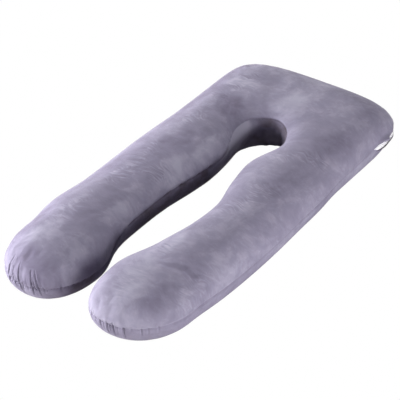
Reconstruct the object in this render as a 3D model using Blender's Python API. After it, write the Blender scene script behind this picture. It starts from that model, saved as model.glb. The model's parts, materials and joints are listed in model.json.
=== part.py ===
"""A U-shaped body pillow, lying on its back.

A top panel and a bottom panel are sewn together all round at half height and filled. Two arms
with round ends run down from a wide head, with a rounded opening for the neck between them.
Near one head corner the zip in the seam gapes, so its tape and its lower guard show.

Metres, +Z up. The head end is +Y, and the origin is under the middle of the pillow.
"""

import math
from collections import namedtuple

import bmesh
import bpy
import numpy as np
from mathutils import Vector

# Outline at the seam. Arms: one row for each cut across both of them, from the head down.
Arms = namedtuple("Arms", "y left_outer left_inner left_crown right_inner right_outer right_crown")
ARM_ROWS = (
    Arms(0.305, 0.375, 0.095, 0.178, 0.116, 0.376, 0.183),
    Arms(0.165, 0.378, 0.044, 0.184, 0.067, 0.386, 0.185),
    Arms(0.025, 0.382, 0.050, 0.185, 0.080, 0.388, 0.187),
    Arms(-0.125, 0.384, 0.071, 0.180, 0.113, 0.392, 0.182),
    Arms(-0.275, 0.387, 0.076, 0.178, 0.106, 0.390, 0.183),
    Arms(-0.445, 0.396, 0.067, 0.185, 0.068, 0.381, 0.185),
    Arms(-0.595, 0.379, 0.028, 0.183, 0.014, 0.364, 0.178),
)
HALF_LENGTH = 0.825
# The arms' round ends. lean is how far the tip is off along X; a power of 2 makes half an ellipse.
End = namedtuple("End", "length lean power seam_height")
ENDS = {
    "left": End(0.226, 0.006, 2.1, 0.084),
    "right": End(0.230, -0.030, 2.2, 0.094),
}
HEAD_CROWN = 0.175
HEAD_POWERS = (2.85, 9.5)  # how square the head's outline is along X and along Y
NECK_TOP = 0.432
NECK_POWERS = {"left": 2.0, "right": 1.6}  # the neck opening's curve; a power of 2 makes an ellipse

# The outer seam keeps one height and eases to each end's own. The inner seam lies higher, and in
# the tight curve of the neck opening it climbs nearly to the rim.
OUTER_SEAM_HEIGHT = 0.093
INNER_SEAM_HEIGHT = 0.118
NECK_SEAM_HEIGHT = 0.150
NECK_CLIMB = (0.175, 0.375)  # Y where the inner seam starts and ends its climb
END_EASE = 0.25

# Cut through a panel, from its crown to the seam.
FULLNESS = 13.9  # a panel's power for each metre from crown to seam, so that wide parts are flatter
UNDER_FULLNESS = 15.7
# The neck opening's walls, by the side they stand on. The side walls are steep, the far one tucks under.
NECK_LEFT_FULLNESS = 38.0
NECK_FAR_FULLNESS = 20.0
NECK_RIGHT_FULLNESS = 100.0
NECK_RIM_FULLNESS = 24.0  # the top panel turns over crisply at the right wall
NECK_WALL = (0.165, 0.300)  # Y where the wall under the inner seam starts and ends steepening
NECK_BULGE = 0.032  # how far the filling pushes the neck's left wall out, below its high seam
NECK_BULGE_RISE = 0.5  # under 1, the wall bulges close below the seam
LEAST_FULLNESS = 2.0
UNDER_DEPTH = 1.15  # more than 1 rests the bottom panel flat on the floor
SEAM_DRAW = 0.006  # how far the stitches draw the seam in
SEAM_DRAW_WIDTH = 0.006
OVER_DEGREES = (0, 3, 7, 14, 25, 40, 62, 90)  # where the top panel has a line, seam to crown
UNDER_DEGREES = (0, 3, 7, 14, 25, 37, 49, 61, 90)  # the bottom panel is flat from the last but one

# Spacing of the mesh along the seam.
ARM_STEP = 0.030
HEAD_STEP = 0.034
HEAD_HEADINGS = 721  # where the head's outline is worked out before it is spaced evenly
REACH_TOLERANCE = 1e-6
END_STEP_DEGREES = 10
GATHER_LINES = (-1.8, -0.9, 0, 0.9, 1.8)  # lines across a gather, in its half widths
CLOSEST_LINES_DEGREES = 0.8

# Gathers: folds across the seam where the panels are eased round the ends. Degrees go round each
# end from its inner side. A fold reaches up over the top panel and down over the bottom one, and
# leans by so much along the seam for each metre it rises.
Gather = namedtuple("Gather", "side degrees half_width depth reach_up reach_down lean")
GATHER_TAPER = 0.7  # under 1, a fold keeps most of its depth until near its far end
GATHERS = (
    Gather("left", 45, 0.007, 0.003, 0.030, 0.030, 0.0),
    Gather("left", 67, 0.006, 0.005, 0.040, 0.045, 0.3),
    Gather("left", 74, 0.006, 0.005, 0.040, 0.035, 0.3),
    Gather("left", 89, 0.006, 0.006, 0.045, 0.045, 0.3),
    Gather("left", 97, 0.006, 0.004, 0.015, 0.045, 0.3),
    Gather("left", 108, 0.007, 0.005, 0.045, 0.040, 0.3),
    Gather("left", 124, 0.007, 0.003, 0.030, 0.030, 0.0),
    Gather("right", 62, 0.007, 0.003, 0.030, 0.040, 0.0),
    Gather("right", 87, 0.006, 0.004, 0.015, 0.040, -0.1),
    Gather("right", 95, 0.006, 0.005, 0.018, 0.050, -0.1),
    Gather("right", 101, 0.006, 0.006, 0.018, 0.050, -0.1),
    Gather("right", 112, 0.005, 0.006, 0.012, 0.060, -0.1),
    Gather("right", 118, 0.005, 0.003, 0.012, 0.030, 0.0),
    Gather("right", 127, 0.006, 0.004, 0.012, 0.040, 0.0),
    Gather("right", 143, 0.008, 0.003, 0.012, 0.035, 0.0),
)

# Hollows in the top panel, where the filling has shifted. turn is the hollow's heading from +X.
Hollow = namedtuple("Hollow", "x y turn_degrees half_length half_width depth")
HOLLOWS = (
    Hollow(0.215, -0.575, 20, 0.090, 0.035, 0.006),
    Hollow(0.225, 0.020, -10, 0.100, 0.045, 0.005),
    Hollow(-0.225, -0.240, 10, 0.100, 0.045, 0.005),
    Hollow(-0.205, 0.430, 60, 0.090, 0.040, 0.005),
    Hollow(-0.110, 0.620, 75, 0.080, 0.035, 0.004),
    Hollow(0.190, 0.500, -35, 0.110, 0.045, 0.004),
)

# The gaping zip, one row for each place along it. out is how much of the tape shows.
Zip = namedtuple("Zip", "share out")
ZIP_ROWS = (
    Zip(0.00, 0.0005),
    Zip(0.25, 0.0075),
    Zip(0.50, 0.0085),
    Zip(0.75, 0.0090),
    Zip(1.00, 0.0005),
)
ZIP_START = 0.398  # along the seam from the middle of the head, round the right corner
ZIP_LENGTH = 0.178
ZIP_STATIONS = 21
ZIP_LOOK = 0.02  # how far to either side the seam's heading is taken from
TAPE_INSET = 0.0022  # the tape starts this far inside the outline, in the groove of the seam
TAPE_THICKNESS = 0.0015
TAPE_RISE = 0.0035  # the tape slopes from this far above the seam to this far below it
GUARD_RADIUS = 0.0028
GUARD_DROP = 0.0045
CLEARANCE = 0.0006

COVER_COLOUR = (0.215, 0.200, 0.275)
TAPE_COLOUR = (0.830, 0.820, 0.850)
GUARD_COLOUR = (0.160, 0.150, 0.185)


def clear_scene():
    for obj in list(bpy.data.objects):
        bpy.data.objects.remove(obj, do_unlink=True)


def material(name, colour, roughness):
    made = bpy.data.materials.new(name)
    made.use_nodes = True
    shader = made.node_tree.nodes["Principled BSDF"]
    shader.inputs["Base Color"].default_value = (*colour, 1.0)
    shader.inputs["Roughness"].default_value = roughness
    shader.inputs["Metallic"].default_value = 0.0
    return made


def eased(at, values, where):
    """A smooth curve through a column of a table, level at both its ends."""
    slopes = np.gradient(values, at)
    slopes[0] = slopes[-1] = 0.0
    row = min(max(int(np.searchsorted(at, where)) - 1, 0), len(at) - 2)
    step = at[row + 1] - at[row]
    t = (where - at[row]) / step
    near = (1 + 2 * t) * (1 - t) ** 2 * values[row] + t * (1 - t) ** 2 * step * slopes[row]
    far = t * t * (3 - 2 * t) * values[row + 1] + t * t * (t - 1) * step * slopes[row + 1]
    return near + far


def arm_value(column, y):
    rows = ARM_ROWS[::-1]
    return eased([row.y for row in rows], [getattr(row, column) for row in rows], y)


def ramp(value, start, end):
    """0 before start, 1 after end, and a smooth rise between them."""
    share = min(max((value - start) / (end - start), 0.0), 1.0)
    return share * share * (3 - 2 * share)


def inner_seam_height(y, side):
    low, end = ARM_ROWS[-1].y, ENDS[side].seam_height
    eased_from_end = end + (INNER_SEAM_HEIGHT - end) * ramp(y, low, low + END_EASE)
    return eased_from_end + (NECK_SEAM_HEIGHT - INNER_SEAM_HEIGHT) * ramp(y, *NECK_CLIMB)


def outer_seam_height(y, side):
    end = ENDS[side].seam_height
    return end + (OUTER_SEAM_HEIGHT - end) * ramp(y, ARM_ROWS[-1].y, ARM_ROWS[0].y)


# A rung joins the inner seam to the outer one across the pillow, and has a crown between them.
Rung = namedtuple("Rung", "inner outer crown")


def arm_rungs(side):
    """The rungs of one arm, from its round end up to the neck opening."""
    sign = 1 if side == "right" else -1
    low, high = ARM_ROWS[-1].y, ARM_ROWS[0].y
    rungs = []
    for y in np.linspace(low, high, round((high - low) / ARM_STEP) + 1):
        inner = Vector((sign * arm_value(side + "_inner", y), y, inner_seam_height(y, side)))
        outer = Vector((sign * arm_value(side + "_outer", y), y, outer_seam_height(y, side)))
        rungs.append(Rung(inner, outer, arm_value(side + "_crown", y)))
    return rungs


def head_reach(heading, half_width, height):
    """How far the head's outline is from the neck opening's lowest middle point, at a heading."""
    across = abs(math.cos(heading)) / half_width
    along = abs(math.sin(heading)) / height
    near, far = 0.0, 2 * height
    while far - near > REACH_TOLERANCE:
        middle = (near + far) / 2
        inside = (middle * across) ** HEAD_POWERS[0] + (middle * along) ** HEAD_POWERS[1] < 1
        near, far = (middle, far) if inside else (near, middle)
    return near


def head_edge():
    """Evenly spaced points on the head's outer seam, from the left arm to the right one."""
    top = ARM_ROWS[0]
    points = []
    for heading in np.linspace(math.pi, 0, HEAD_HEADINGS):
        half_width = top.right_outer if heading < math.pi / 2 else top.left_outer
        reach = head_reach(heading, half_width, HALF_LENGTH - top.y)
        points.append((reach * math.cos(heading), top.y + reach * math.sin(heading)))
    points = np.array(points)
    along = np.concatenate([[0], np.cumsum(np.linalg.norm(np.diff(points, axis=0), axis=1))])
    evenly = np.linspace(0, along[-1], round(along[-1] / HEAD_STEP) + 1)
    across = np.interp(evenly, along, points[:, 0])
    up = np.interp(evenly, along, points[:, 1])
    return [Vector((x, y, OUTER_SEAM_HEIGHT)) for x, y in zip(across, up)]


def head_rungs():
    """The rungs that fan out round the neck opening, between the two arms' highest rungs."""
    top = ARM_ROWS[0]
    middle = (top.right_inner - top.left_inner) / 2
    half_width = (top.right_inner + top.left_inner) / 2
    outer_points = head_edge()
    rungs = []
    for i, outer in enumerate(outer_points[1:-1], 1):
        turn = math.pi * (1 - i / (len(outer_points) - 1))
        side = "right" if turn < math.pi / 2 else "left"
        bend = 2 / NECK_POWERS[side]
        x = middle + half_width * math.copysign(abs(math.cos(turn)) ** bend, math.cos(turn))
        y = top.y + (NECK_TOP - top.y) * math.sin(turn) ** bend
        arm_crown = getattr(top, side + "_crown")
        crown = arm_crown + (HEAD_CROWN - arm_crown) * math.sin(turn) ** 2
        rungs.append(Rung(Vector((x, y, inner_seam_height(y, side))), outer, crown))
    return rungs


def end_degrees(side):
    """Where the mesh has a line round an arm's end: evenly, and closer at each gather."""
    lines = set(range(0, 181, END_STEP_DEGREES))
    gathers = [gather for gather in GATHERS if gather.side == side]
    for gather in gathers:
        width = math.degrees(gather.half_width / ENDS[side].length)
        reach = 1.2 * GATHER_LINES[-1] * width
        lines -= {line for line in lines if abs(line - gather.degrees) < reach and 0 < line < 180}
        lines |= {gather.degrees + step * width for step in GATHER_LINES}
    kept = []
    for line in sorted(lines):
        if not kept or line - kept[-1] > CLOSEST_LINES_DEGREES:
            kept.append(line)
    return kept


def end_seam(rung, side, degrees):
    """A point on the seam round an arm's end, from its inner side (0) to its outer side (180)."""
    end = ENDS[side]
    middle = (rung.inner + rung.outer) / 2
    turn = math.radians(degrees)
    across = math.copysign(abs(math.cos(turn)) ** (2 / end.power), math.cos(turn))
    along = math.sin(turn) ** (2 / end.power)
    place = middle + (rung.inner - middle) * across
    return Vector((place.x + end.lean * along**2, place.y - end.length * along, end.seam_height))


def hollow_depth(x, y):
    """How far the shifted filling lowers the top panel here."""
    total = 0.0
    for hollow in HOLLOWS:
        turn = math.radians(hollow.turn_degrees)
        dx, dy = x - hollow.x, y - hollow.y
        along = (dx * math.cos(turn) + dy * math.sin(turn)) / hollow.half_length
        across = (dy * math.cos(turn) - dx * math.sin(turn)) / hollow.half_width
        total += hollow.depth * math.exp(-(along**2) - across**2)
    return total


def gather_depth(side, degrees, rise):
    """How far an arm end's gathers draw the cloth in, at this height over or under the seam."""
    total = 0.0
    for gather in GATHERS:
        if gather.side != side:
            continue
        reach = gather.reach_up if rise >= 0 else gather.reach_down
        arc = math.radians(degrees - gather.degrees) * ENDS[side].length
        away = (arc - gather.lean * rise) / gather.half_width
        total += gather.depth * math.exp(-(away**2)) * max(0.0, 1 - abs(rise) / reach) ** GATHER_TAPER
    return total


def half_section(middle, seam, crown, side=None, degrees_round=0, in_neck=0.0):
    """A panel's cut from the seam to its crown, which is None for the bottom panel.

    In an arm's end, side and degrees_round say which one and how far round it the cut is. in_neck
    is 1 for the walls of the neck opening and falls to 0 down the arms.
    """
    outward = (seam - middle).to_2d()
    reach = outward.length
    outward.normalize()
    on_left = (1 + outward.x) / 2
    if crown is None:
        lines, height_change = UNDER_DEGREES, -UNDER_DEPTH * seam.z
        wall = NECK_LEFT_FULLNESS if outward.x > 0 else NECK_RIGHT_FULLNESS
        wall += (NECK_FAR_FULLNESS - wall) * max(0.0, -outward.y) ** 2
        fullness = UNDER_FULLNESS + (wall - UNDER_FULLNESS) * in_neck
    else:
        lines, height_change = OVER_DEGREES, crown - seam.z
        fullness = FULLNESS + (NECK_RIM_FULLNESS - FULLNESS) * in_neck * (1 - on_left)
    power = max(LEAST_FULLNESS, fullness * reach)
    points = []
    for degrees in lines:
        turn = math.radians(degrees)
        rise = math.sin(turn) * height_change
        share = 0.0 if degrees == 90 else math.cos(turn) ** (2 / power)
        drawn = SEAM_DRAW * math.exp(-((rise / SEAM_DRAW_WIDTH) ** 2))
        drawn += gather_depth(side, degrees_round, rise)
        down_wall = min(degrees / UNDER_DEGREES[-2], 1.0) ** NECK_BULGE_RISE
        bulge = NECK_BULGE * in_neck * on_left**2 * math.sin(math.pi * down_wall)
        place = middle.to_2d() + outward * ((reach - drawn) * share + (bulge if crown is None else 0.0))
        height = seam.z + rise
        if crown is not None:
            height -= hollow_depth(place.x, place.y) * math.sin(turn)
        points.append(Vector((place.x, place.y, max(height, 0.0))))
    return points


def rung_section(rung):
    """The closed cut at a rung: up from the inner seam, over the crown, down and back underneath."""
    middle = (rung.inner + rung.outer) / 2
    in_neck = ramp(rung.inner.y, *NECK_WALL)
    over_in = half_section(middle, rung.inner, rung.crown, in_neck=in_neck)
    over_out = half_section(middle, rung.outer, rung.crown)
    under_out = half_section(middle, rung.outer, None)
    under_in = half_section(middle, rung.inner, None, in_neck=in_neck)
    return over_in + over_out[-2::-1] + under_out[1:] + under_in[-2:0:-1]


def add_arm_end(bm, rung, first_loop, side):
    """Closes an arm with its round end: lines that run from the crown over the seam to the underside."""
    middle = (rung.inner + rung.outer) / 2
    crown_at = len(OVER_DEGREES) - 1
    under_at = 2 * crown_at + len(UNDER_DEGREES) - 1
    crown, under = first_loop[crown_at], first_loop[under_at]
    inner_line = first_loop[crown_at::-1] + first_loop[: under_at - 1 : -1]
    outer_line = first_loop[crown_at : under_at + 1]
    lines = [inner_line]
    for degrees in end_degrees(side)[1:-1]:
        seam = end_seam(rung, side, degrees)
        over = half_section(middle, seam, rung.crown, side, degrees)[-2::-1]
        below = half_section(middle, seam, None, side, degrees)[1:-1]
        lines.append([crown] + [bm.verts.new(point) for point in over + below] + [under])
    lines.append(outer_line)
    for line, following in zip(lines, lines[1:]):
        for i in range(len(line) - 1):
            corners = (line[i], line[i + 1], following[i + 1], following[i])
            bm.faces.new(list(dict.fromkeys(corners)))


def finish(name, bm, look):
    bmesh.ops.recalc_face_normals(bm, faces=bm.faces)
    mesh = bpy.data.meshes.new(name)
    bm.to_mesh(mesh)
    bm.free()
    mesh.shade_smooth()
    mesh.materials.append(look)
    made = bpy.data.objects.new(name, mesh)
    bpy.context.scene.collection.objects.link(made)
    return made


def pillow():
    """The filled cover: one closed body from the left arm's end, round the head, to the right arm's end."""
    left, right = arm_rungs("left"), arm_rungs("right")
    rungs = left + head_rungs() + right[::-1]
    bm = bmesh.new()
    loops = [[bm.verts.new(point) for point in rung_section(rung)] for rung in rungs]
    for loop, following in zip(loops, loops[1:]):
        for i in range(len(loop)):
            j = (i + 1) % len(loop)
            bm.faces.new((loop[i], loop[j], following[j], following[i]))
    add_arm_end(bm, rungs[0], loops[0], "left")
    add_arm_end(bm, rungs[-1], loops[-1], "right")
    return finish("pillow", bm, material("velvet", COVER_COLOUR, 0.85))


def zip_places():
    """Points along the gaping zip: the seam, the way out from it, and how far the guard stands off."""
    edge = np.array([tuple(point.to_2d()) for point in head_edge() if point.x >= 0])
    along = np.concatenate([[0], np.cumsum(np.linalg.norm(np.diff(edge, axis=0), axis=1))])
    along += edge[0, 0]  # the first point lies this far from the middle of the head

    def seam_at(distance):
        return Vector((np.interp(distance, along, edge[:, 0]), np.interp(distance, along, edge[:, 1])))

    shares = [row.share for row in ZIP_ROWS]
    standing = [row.out for row in ZIP_ROWS]
    places = []
    for share in np.linspace(0, 1, ZIP_STATIONS):
        here = ZIP_START + ZIP_LENGTH * share
        run = (seam_at(here + ZIP_LOOK) - seam_at(here - ZIP_LOOK)).normalized()
        places.append((seam_at(here), Vector((-run.y, run.x)), eased(shares, standing, share)))
    return places


def swept(name, sections, look):
    """A body from closed sections with one number of points each, capped at both ends."""
    bm = bmesh.new()
    loops = [[bm.verts.new(point) for point in section] for section in sections]
    for loop, following in zip(loops, loops[1:]):
        for i in range(len(loop)):
            j = (i + 1) % len(loop)
            bm.faces.new((loop[i], loop[j], following[j], following[i]))
    bm.faces.new(loops[0])
    bm.faces.new(loops[-1])
    return finish(name, bm, look)


def beside_seam(seam, outward, out, rise):
    place = seam + outward * out
    return Vector((place.x, place.y, OUTER_SEAM_HEIGHT + rise))


def zip_tape():
    """The pale tape that slopes out from under the top panel's edge to the guard."""
    sections = []
    for seam, outward, out in zip_places():
        near = -TAPE_INSET
        far = near + TAPE_THICKNESS + out
        sections.append(
            (
                beside_seam(seam, outward, near, TAPE_RISE),
                beside_seam(seam, outward, far, -TAPE_RISE + TAPE_THICKNESS),
                beside_seam(seam, outward, far, -TAPE_RISE),
                beside_seam(seam, outward, near, TAPE_RISE - TAPE_THICKNESS),
            )
        )
    return swept("zip_tape", sections, material("zip_tape", TAPE_COLOUR, 0.75))


def zip_guard():
    """The bound edge of the bottom panel, bowed out where the zip gapes."""
    sections = []
    for seam, outward, out in zip_places():
        centre = -TAPE_INSET + TAPE_THICKNESS + out + CLEARANCE + GUARD_RADIUS
        section = []
        for degrees in range(0, 360, 60):
            turn = math.radians(degrees)
            further = centre + GUARD_RADIUS * math.cos(turn)
            rise = -GUARD_DROP + GUARD_RADIUS * math.sin(turn)
            section.append(beside_seam(seam, outward, further, rise))
        sections.append(section)
    return swept("zip_guard", sections, material("zip_guard", GUARD_COLOUR, 0.8))


clear_scene()
pillow()
zip_tape()
zip_guard()
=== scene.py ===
"""Dresses the U-shaped body pillow: its velvet cover with the seam, gathers and brushed pile, and the
gaping zip at one head corner. Metres, +Z up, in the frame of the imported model."""

import json
import math
from collections import namedtuple

import bmesh
import bpy
import numpy as np
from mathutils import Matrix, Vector, noise
from mathutils.kdtree import KDTree

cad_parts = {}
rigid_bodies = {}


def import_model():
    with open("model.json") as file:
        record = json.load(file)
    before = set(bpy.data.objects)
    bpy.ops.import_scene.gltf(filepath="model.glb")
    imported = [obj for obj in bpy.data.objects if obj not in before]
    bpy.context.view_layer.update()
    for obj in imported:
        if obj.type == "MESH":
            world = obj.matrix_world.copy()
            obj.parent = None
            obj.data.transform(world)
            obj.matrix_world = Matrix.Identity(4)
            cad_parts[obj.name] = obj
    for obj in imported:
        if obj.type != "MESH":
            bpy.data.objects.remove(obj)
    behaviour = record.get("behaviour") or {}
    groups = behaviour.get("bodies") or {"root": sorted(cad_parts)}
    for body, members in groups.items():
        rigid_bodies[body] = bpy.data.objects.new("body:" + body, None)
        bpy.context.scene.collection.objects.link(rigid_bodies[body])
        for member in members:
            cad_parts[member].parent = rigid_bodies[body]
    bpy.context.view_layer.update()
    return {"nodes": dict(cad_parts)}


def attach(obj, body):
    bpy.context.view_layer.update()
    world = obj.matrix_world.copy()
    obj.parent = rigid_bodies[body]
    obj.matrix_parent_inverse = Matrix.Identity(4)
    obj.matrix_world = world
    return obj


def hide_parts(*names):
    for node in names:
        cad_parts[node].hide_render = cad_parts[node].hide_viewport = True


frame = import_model()
scene = bpy.context.scene

# ---------------------------------------------------------------- named sizes
CAMERA_TARGET = (0.0113, -0.0763, 0.080)
CAMERA_AZIMUTH = 35.0
CAMERA_ELEVATION = 35.85
CAMERA_DISTANCE = 5.47
CAMERA_LENS_MM = 136.9
SENSOR_MM = 36.0
CAMERA_FAR = 100.0

# Finding the seam's groove on the solid, and the line along it.
FOLD = 0.35  # the groove is the fold inwards that is sharper than this, in radians
LEVEL_SLOPE = 0.35
LOWEST_SEAM = 0.05
HEAD_Y = 0.7  # the seam starts past this, at the head's middle
SEAM_SPACING = 0.002
SEAM_SMOOTHING = 48
SEAM_RUN = 6  # the seam's heading is taken over this many points to each side

# The filled cover before its details: an even mesh, swollen between its seam and the floor.
SAME_POINT = 1e-5  # corners this close are one
PAIR_BEND = 1.0  # triangles are paired into quads across bends up to this, in radians
PAIR_SHAPE = 3.1
ROUNDING_LEVELS = 2
VOXEL = 0.0070
FACET_SMOOTHING = 2
CLOTH_PRESSURE = 4.0
CLOTH_FRAMES = 20
CLOTH_CAP = 0.006  # the most that the cover swells
SEAM_PIN = 0.006  # the cloth is held this close to its seam
FLOOR_TOUCH = 0.0008  # and where it lies on the floor, up to this height

# The seam's crease: a narrow stitch line drawn in between two soft lips, puckered by the thread.
SEAM_BAND = 0.016  # the mesh is made finer this far from the seam
CREASE_DEPTH = 0.0035
CREASE_WIDTH = 0.0032
CREASE_UNEVEN = 0.35  # share of its depth that comes and goes along the seam
LIP_HEIGHT = 0.0012
LIP_PLACE = 0.0085
LIP_WIDTH = 0.0040
LIP_UNEVEN = 0.8
PUCKER_LENGTH = 0.016  # one pucker and the next along the seam
PUCKER_REACH = 0.020
PUCKER_DEPTH = 0.0009
DRIFT_LENGTH = 0.080  # the slower change from place to place
PUCKER_ROW = 3.7  # the rows of the noise that the puckers and the slower change are read on
DRIFT_ROW = 8.1
SEWN_SMOOTHING = 0.3
CALM_PLACE = 4.66  # along the seam, where the filling all but smooths the crease away
CALM_REACH = 0.10
CALM_SHARE = 0.85

# Gathers where the panels are eased round the arms' ends. along is measured on the seam from the
# head's middle round the right corner. A fold leans by slant for each metre it runs from the seam.
Gather = namedtuple("Gather", "along width depth up down slant")
GATHERS = (
    # the right arm's end
    Gather(1.860, 0.0035, 0.0018, 0.010, 0.022, 0.0),
    Gather(1.893, 0.0030, 0.0015, 0.010, 0.026, 0.0),
    Gather(1.916, 0.0030, 0.0030, 0.008, 0.034, 0.0),
    Gather(1.948, 0.0030, 0.0020, 0.008, 0.026, 0.0),
    Gather(1.977, 0.0034, 0.0052, 0.008, 0.060, 0.1),
    Gather(1.998, 0.0026, 0.0018, 0.008, 0.034, 0.1),
    Gather(2.017, 0.0034, 0.0050, 0.018, 0.052, 0.2),
    Gather(2.029, 0.0026, 0.0022, 0.010, 0.034, 0.15),
    Gather(2.040, 0.0032, 0.0042, 0.014, 0.050, 0.12),
    Gather(2.054, 0.0026, 0.0022, 0.010, 0.036, 0.2),
    Gather(2.070, 0.0030, 0.0030, 0.010, 0.042, 0.25),
    Gather(2.090, 0.0030, 0.0018, 0.012, 0.034, 0.2),
    Gather(2.114, 0.0034, 0.0026, 0.020, 0.028, 0.2),
    # the left arm's end
    Gather(4.752, 0.0036, 0.0022, 0.024, 0.024, 0.0),
    Gather(4.809, 0.0030, 0.0024, 0.018, 0.026, 0.3),
    Gather(4.828, 0.0030, 0.0044, 0.066, 0.044, 0.35),
    Gather(4.838, 0.0026, 0.0026, 0.056, 0.026, 0.5),
    Gather(4.852, 0.0030, 0.0042, 0.066, 0.034, 0.25),
    Gather(4.870, 0.0026, 0.0014, 0.040, 0.024, 0.3),
    Gather(4.889, 0.0028, 0.0026, 0.030, 0.040, 0.1),
    Gather(4.903, 0.0032, 0.0046, 0.078, 0.040, 0.42),
    Gather(4.916, 0.0026, 0.0022, 0.030, 0.034, 0.45),
    Gather(4.930, 0.0030, 0.0036, 0.050, 0.038, 0.5),
    Gather(4.946, 0.0028, 0.0028, 0.080, 0.034, 0.4),
    Gather(4.966, 0.0032, 0.0044, 0.082, 0.030, 0.4),
    Gather(5.000, 0.0034, 0.0018, 0.030, 0.022, 0.2),
)
RIDGE_SHARE = 0.45  # each fold stands up this much beside its groove
RIDGE_PLACE = 1.9  # in the groove's half widths
GATHER_TAPER = 0.7  # below 1, a fold keeps its depth for longer before it runs out
GATHER_MARGIN = 0.012  # the finer mesh reaches this far to each side of a gather

# The zip that gapes at one head corner. Its lines are read off the solids there.
ZIP_PLACES = 61
ZIP_END = 0.006  # the pieces stop this far inside their solids' ends
PATH_BLEND = 0.006
TAPE_CELLS_ALONG = 150
TAPE_CELLS_ACROSS = 6
TAPE_CLOTH = 0.0011
TAPE_UNDER_LIP = 0.0040  # how far inside the seam's line the tape starts
TAPE_LIP_RISE = 0.0025
TAPE_TO_GUARD = 0.0031
TAPE_SAG = 0.0006
TAPE_ENDS = 0.12  # share of the tape's length over which each end is tucked in
TAPE_LEAST = 0.05  # share of the tape's width that an end still has
GUARD_RADIUS = 0.0020
GUARD_SIDES = 12
GUARD_CUTS = 70
GUARD_TAPERS = (0.32, 0.10)  # share of its length over which each end narrows
GUARD_LEAST = 0.15
# How far the bound edge bows out from its solid's middle line, along the seam.
Bow = namedtuple("Bow", "along out")
GUARD_BOWS = (
    Bow(0.400, -0.003),
    Bow(0.440, 0.001),
    Bow(0.500, 0.0035),
    Bow(0.550, 0.003),
    Bow(0.580, 0.0),
)
COIL_PITCH = 0.0018
COIL_RADIUS = 0.0010
COIL_WIRE = 0.00033
COIL_LEAN = 14  # degrees
COIL_SIDES = (8, 4)
STITCH_PITCH = 0.0034
STITCH_LENGTH = 0.0022
STITCH_THICKNESS = 0.00035
STITCH_PLACE = 0.72  # share of the way across the tape
STITCH_SIDES = (6, 5)
# How far the top panel's edge hangs out over the tape, along the seam. It closes the gap at a pinch.
# The bottom panel is tucked in under the guard.
Lip = namedtuple("Lip", "along out tuck")
LIPS = (
    Lip(0.385, 0.0, 0.0),
    Lip(0.415, 0.005, 0.003),
    Lip(0.455, 0.007, 0.006),
    Lip(0.477, 0.021, 0.008),
    Lip(0.498, 0.008, 0.008),
    Lip(0.525, 0.001, 0.008),
    Lip(0.560, 0.0, 0.006),
    Lip(0.600, 0.0, 0.0),
)
TUCK_PLACE = (0.030, 0.026)  # how deep below the seam the tuck is, and its half height
LIP_OVERHANG = (0.006, 0.007)  # the overhang's height over the seam, and its half height

# The velvet's colours, from its pile brushed away from the light to brushed towards it. The two darkest
# stops
# are for painted shade: the marks that paint the deepest shade on the walls and in the crease reach them.
VELVET_COLOURS = (
    (0.030, 0.026, 0.033),
    (0.080, 0.066, 0.084),
    (0.150, 0.134, 0.196),
    (0.215, 0.198, 0.272),
    (0.324, 0.307, 0.394),
)
VELVET_SHEEN = 0.10
VELVET_SHEEN_ROUGHNESS = 0.4
VELVET_SHEEN_TINT = (0.92, 0.90, 1.0)
VELVET_ROUGHNESS = 0.82
VELVET_ROUGHER = 0.12  # by how much more where the pile lies dark
VELVET_SPECULAR = 0.12
PILE_HEIGHT = 0.0006
GRAIN_PER_METRE = 900.0
PATCH_SHARE = 0.24  # how much each effect of the brushed pile counts
MOTTLE_SHARE = 0.16
STROKE_SHARE = 1.5
FLECK_SHARE = 0.35
STROKES_ELSEWHERE = 0.12  # share of the strokes and flecks outside the swept places
FLECKS_ELSEWHERE = 0.25
PATCH_SIZE = 0.15
PATCH_RANGE = (0.38, 0.62)  # the part of each noise that is spread over the whole effect
MOTTLE_SIZE = 0.040
MOTTLE_RANGE = (0.36, 0.64)
FLECK_SIZE = 0.010
FLECK_RANGE = (0.60, 0.72)
FLECK_MOTTLE = (0.50, 0.62)  # flecks stand where the mottle is above this
DRIFT_SIZE = 0.20  # the noise that bends the patches, and how far
DRIFT_REACH = 0.16
CURL_SIZE = 0.09  # the noise that bends the strokes, and how far
CURL_REACH = 0.060
STROKE_TURNS = (8, -22)
STROKE_SIZE = (0.055, 0.0075, 0.040)
TURN_SIZE = 0.07  # how wide a place has strokes that lie one way
TURN_RANGE = (0.47, 0.53)
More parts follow.
